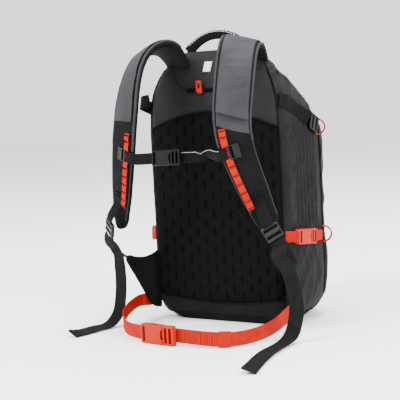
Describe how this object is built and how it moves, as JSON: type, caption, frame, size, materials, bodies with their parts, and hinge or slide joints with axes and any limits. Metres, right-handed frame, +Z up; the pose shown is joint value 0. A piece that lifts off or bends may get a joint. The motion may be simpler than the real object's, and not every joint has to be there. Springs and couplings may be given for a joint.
{
  "type": "avalanche airbag backpack",
  "caption": "Ski backpack with a stowed airbag, gas inflator and pull handle, padded shoulder straps, sternum strap, hip belt, haul handle and side ski straps.",
  "frame": {"origin": "centre of the flat base, on the floor that the bag stands on", "axes": "+Z up; the wearer's side, with the back pad and shoulder straps, faces -Y; +X is the wearer's left, where the airbag handle is"},
  "size_m": [0.4519, 0.5035, 0.5388],
  "materials": {
    "mesh_fabric": "matte",
    "yoke_fabric": "matte",
    "grey_ripstop": "satin",
    "black_fabric": "matte",
    "dark_webbing": "matte",
    "label_fabric": "matte",
    "zip_coil": "matte",
    "red_plastic": "satin",
    "pad_fabric": "matte",
    "cover_fabric": "matte",
    "red_webbing": "matte",
    "black_plastic": "satin",
    "pe_sheet": "satin",
    "airbag_fabric": "satin",
    "cylinder_paint": "gloss",
    "inflator_metal": "satin",
    "lever_metal": "satin",
    "cable_plastic": "satin",
    "trigger_grip": "satin"
  },
  "bodies": {
    "pack": {"airbag": "airbag_fabric", "back_band": "yoke_fabric", "back_pad": "mesh_fabric", "bottom_panel": "black_fabric", "daisy_chain_left": "red_webbing", "daisy_chain_right": "red_webbing", "frame_sheet": "pe_sheet", "front_base": "black_fabric", "front_pocket": "grey_ripstop", "gas_cylinder": "cylinder_paint", "hip_fin_left": "yoke_fabric", "hip_fin_right": "yoke_fabric", "hip_keeper": "red_webbing", "hip_socket": "red_plastic", "hip_webbing_left": "red_webbing", "hip_webbing_right": "red_webbing", "inflator": "inflator_metal", "ladder_tab_left": "dark_webbing", "ladder_tab_right": "dark_webbing", "lower_ski_loops": "red_webbing", "lower_webbing_left": "dark_webbing", "lower_webbing_right": "dark_webbing", "name_patch": "label_fabric", "pad_cover_left": "cover_fabric", "pad_cover_right": "cover_fabric", "pocket_zip": "zip_coil", "shoulder_pad_left": "pad_fabric", "shoulder_pad_right": "pad_fabric", "side_panel_left": "grey_ripstop", "side_panel_right": "grey_ripstop", "side_socket_left": "red_plastic", "side_socket_right": "red_plastic", "side_webbing_left": "red_webbing", "side_webbing_right": "red_webbing", "sternum_anchors": "black_plastic", "sternum_socket": "black_plastic", "sternum_webbing_left": "dark_webbing", "sternum_webbing_right": "dark_webbing", "strap_tail_left": "dark_webbing", "strap_tail_right": "dark_webbing", "top_cover": "grey_ripstop", "trigger_cable": "cable_plastic", "upper_ski_loops": "red_webbing", "upper_webbing_left": "dark_webbing", "upper_webbing_right": "dark_webbing", "yoke_panel": "yoke_fabric", "yoke_zip": "zip_coil"},
    "haul_handle": {"haul_handle": "dark_webbing"},
    "yoke_zip_slider": {"yoke_zip_slider": "red_plastic"},
    "pocket_zip_slider": {"pocket_zip_slider": "red_plastic"},
    "ladder_lock_left": {"ladder_lock_left": "black_plastic"},
    "ladder_lock_right": {"ladder_lock_right": "black_plastic"},
    "upper_buckle_left": {"upper_buckle_left": "black_plastic"},
    "upper_buckle_right": {"upper_buckle_right": "black_plastic"},
    "sternum_plug": {"sternum_plug": "black_plastic"},
    "hip_plug": {"hip_plug": "red_plastic"},
    "side_plug_left": {"side_plug_left": "red_plastic"},
    "side_plug_right": {"side_plug_right": "red_plastic"},
    "trigger_handle": {"trigger_handle": "trigger_grip"},
    "firing_lever": {"firing_lever": "lever_metal"}
  },
  "joints": [
    {"name": "haul_handle_fold", "type": "hinge", "parent": "pack", "child": "haul_handle", "pos_m": [0, -0.045, 0.501], "axis": [-1, 0, 0], "range_deg": [0, 70]},
    {"name": "yoke_zip_run", "type": "slide", "parent": "pack", "child": "yoke_zip_slider", "axis": [1, 0, 0], "range_m": [-0.025, 0.06]},
    {"name": "pocket_zip_run", "type": "slide", "parent": "pack", "child": "pocket_zip_slider", "axis": [1, 0, 0], "range_m": [0, 0.118]},
    {"name": "ladder_lock_left_tilt", "type": "hinge", "parent": "pack", "child": "ladder_lock_left", "pos_m": [-0.16691, -0.18466, 0.19682], "axis": [-0.7514, 0.4515, 0.4812], "range_deg": [0, 35]},
    {"name": "ladder_lock_right_tilt", "type": "hinge", "parent": "pack", "child": "ladder_lock_right", "pos_m": [0.16691, -0.18466, 0.19682], "axis": [-0.7514, -0.4515, -0.4812], "range_deg": [0, 35]},
    {"name": "upper_buckle_left_tilt", "type": "hinge", "parent": "pack", "child": "upper_buckle_left", "pos_m": [-0.15902, -0.00082, 0.3654], "axis": [0.0642, 0.4858, 0.8717], "range_deg": [0, 30]},
    {"name": "upper_buckle_right_tilt", "type": "hinge", "parent": "pack", "child": "upper_buckle_right", "pos_m": [0.15902, -0.00082, 0.3654], "axis": [0.0642, -0.4858, -0.8717], "range_deg": [0, 30]},
    {"name": "sternum_release", "type": "slide", "parent": "pack", "child": "sternum_plug", "axis": [0.9994, 0.02, 0.03], "range_m": [0, 0.024]},
    {"name": "hip_release", "type": "slide", "parent": "pack", "child": "hip_plug", "axis": [0.995, -0.0995, 0], "range_m": [0, 0.03]},
    {"name": "side_release_left", "type": "slide", "parent": "pack", "child": "side_plug_left", "axis": [-0.1145, 0.9884, -0.0995], "range_m": [0, 0.024]},
    {"name": "side_release_right", "type": "slide", "parent": "pack", "child": "side_plug_right", "axis": [0.1145, 0.9884, -0.0995], "range_m": [0, 0.024]},
    {"name": "trigger_pull", "type": "slide", "parent": "pack", "child": "trigger_handle", "axis": [0.0118, -0.1928, -0.9812], "range_m": [0, 0.03]},
    {"name": "firing_lever_turn", "type": "hinge", "parent": "pack", "child": "firing_lever", "pos_m": [-0.032, -0.012, 0.296], "axis": [0, -1, 0], "range_deg": [0, 21]}
  ],
  "couplings": [
    {"joint": "firing_lever_turn", "follows": "trigger_pull", "rad_per_m": 11.6}
  ]
}
